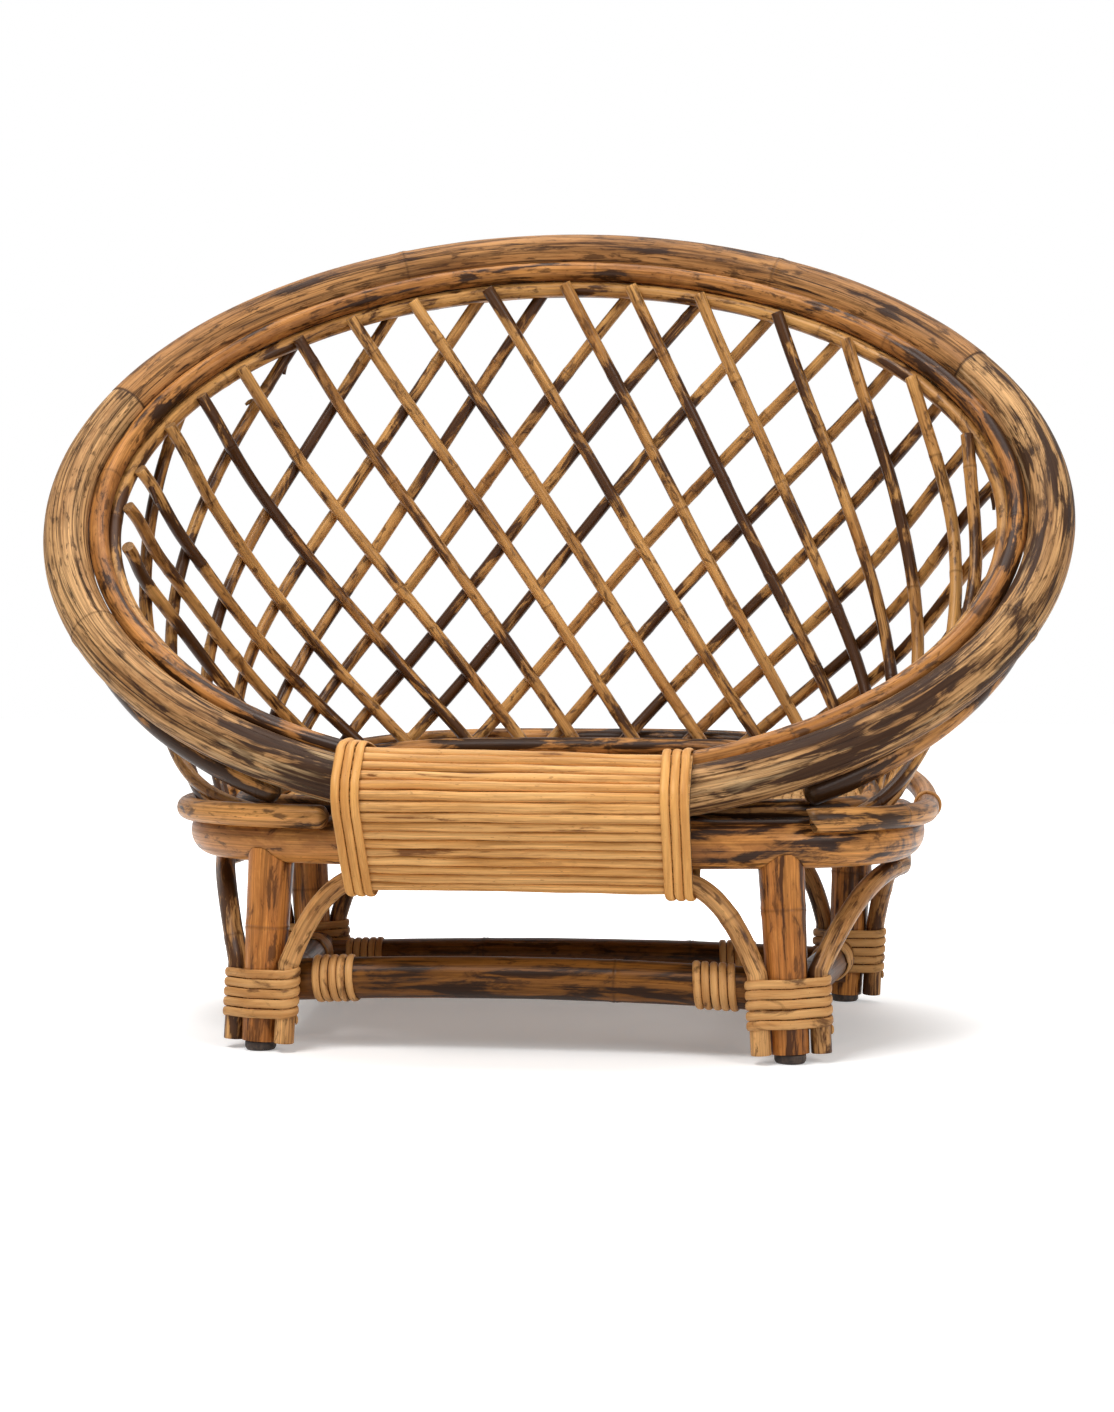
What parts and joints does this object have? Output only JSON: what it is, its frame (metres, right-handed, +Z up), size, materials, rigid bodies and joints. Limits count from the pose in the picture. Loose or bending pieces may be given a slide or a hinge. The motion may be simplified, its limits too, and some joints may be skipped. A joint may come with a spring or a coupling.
{
  "type": "oval basket lounge chair",
  "caption": "Low lounge chair: a tilted oval lattice basket of bent rattan poles on a four-legged rattan base bound with cane.",
  "frame": {"origin": "middle of the chair's outline, on the floor", "axes": "+Z up, the front faces -Y, +X to the right seen from the front"},
  "size_m": [1.0218, 0.5734, 0.8246],
  "materials": {
    "weathered_pole": "dry weathered rattan bark with grey and dark brown streaks",
    "honey_pole": "satin honey-brown rattan with burnt patches",
    "dark_pole": "satin dark brown rattan",
    "lattice_rod": "satin brown rattan with faint nodes",
    "pale_reed": "satin pale honey reed with dark specks",
    "cane_wrap": "satin flat cane strip",
    "deck_cane": "matt woven cane",
    "glide": "dark matt"
  },
  "bodies": {
    "root": {"base_ring": "honey_pole", "brace_hoop_front": "honey_pole", "brace_hoop_left": "honey_pole", "brace_hoop_rear": "honey_pole", "brace_hoop_right": "honey_pole", "front_reed_panel": "pale_reed", "glide_front_left": "glide", "glide_front_right": "glide", "glide_rear_left": "glide", "glide_rear_right": "glide", "lattice_inner_rod_01": "lattice_rod", "lattice_inner_rod_02": "lattice_rod", "lattice_inner_rod_03": "lattice_rod", "lattice_inner_rod_04": "lattice_rod", "lattice_inner_rod_05": "lattice_rod", "lattice_inner_rod_06": "lattice_rod", "lattice_inner_rod_07": "lattice_rod", "lattice_inner_rod_08": "lattice_rod", "lattice_inner_rod_09": "lattice_rod", "lattice_inner_rod_10": "lattice_rod", "lattice_inner_rod_11": "lattice_rod", "lattice_inner_rod_12": "lattice_rod", "lattice_inner_rod_13": "lattice_rod", "lattice_inner_rod_14": "lattice_rod", "lattice_inner_rod_15": "lattice_rod", "lattice_inner_rod_16": "lattice_rod", "lattice_inner_rod_17": "lattice_rod", "lattice_ring_and_outer_rods": "lattice_rod", "leg_binding_front_left": "cane_wrap", "leg_binding_front_right": "cane_wrap", "leg_binding_rear_left": "cane_wrap", "leg_binding_rear_right": "cane_wrap", "leg_front_left": "honey_pole", "leg_front_right": "honey_pole", "leg_rear_left": "honey_pole", "leg_rear_right": "honey_pole", "panel_band_left": "cane_wrap", "panel_band_right": "cane_wrap", "rim_front_pole": "weathered_pole", "rim_inner_ring": "honey_pole", "rim_rear_pole": "honey_pole", "seat_deck": "deck_cane", "seat_inner_hoop": "dark_pole", "seat_outer_hoop": "honey_pole", "stretcher_binding_front_left": "cane_wrap", "stretcher_binding_front_right": "cane_wrap", "stretcher_binding_left_front": "cane_wrap", "stretcher_binding_left_rear": "cane_wrap", "stretcher_binding_rear_left": "cane_wrap", "stretcher_binding_rear_right": "cane_wrap", "stretcher_binding_right_front": "cane_wrap", "stretcher_binding_right_rear": "cane_wrap", "stretcher_front": "honey_pole", "stretcher_left": "honey_pole", "stretcher_rear": "honey_pole", "stretcher_right": "honey_pole", "under_rim_hoop": "dark_pole"}
  },
  "joints": []
}
